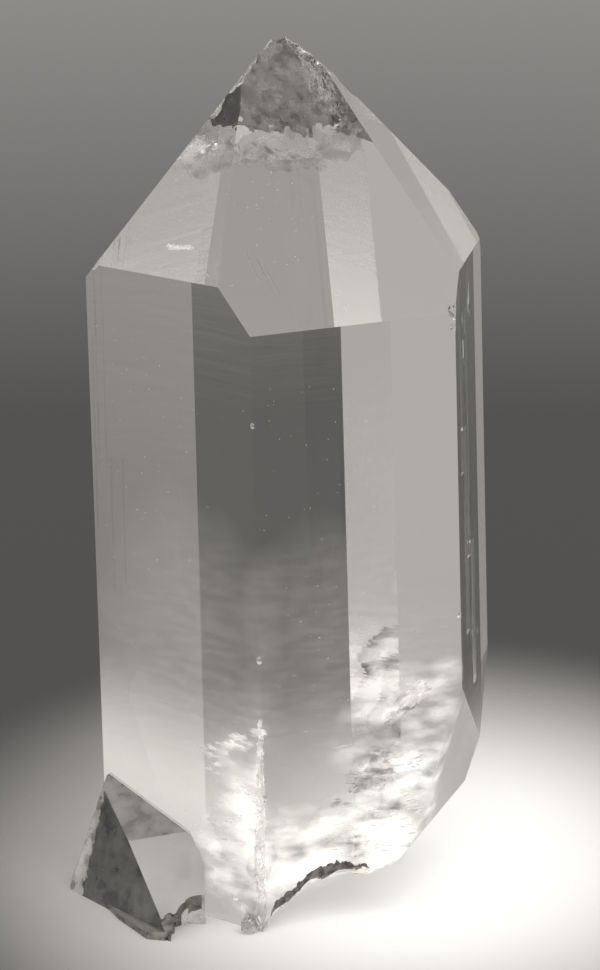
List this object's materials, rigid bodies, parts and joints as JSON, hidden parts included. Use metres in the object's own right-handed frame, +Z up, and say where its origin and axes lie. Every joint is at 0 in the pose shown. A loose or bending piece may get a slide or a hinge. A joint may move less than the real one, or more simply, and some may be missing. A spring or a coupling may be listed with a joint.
{
  "type": "quartz crystal",
  "caption": "Clear six-sided quartz point with a worn tip, a broken root and a small crystal grown on one side; stands upright on its cut base.",
  "frame": {"origin": "on the standing surface, below the middle of the bounding box", "axes": "+Z up, nearly along the crystal's long axis, which leans 1.5 degrees towards -X; -Y towards the viewer of the picture, so the widest front faces look towards -Y"},
  "size_m": [0.0202, 0.02, 0.0407],
  "materials": {
    "quartz": "clear, with flat glossy faces, a milky broken root and a few inner fractures"
  },
  "bodies": {
    "root": {"quartz_crystal": "quartz"}
  },
  "joints": []
}
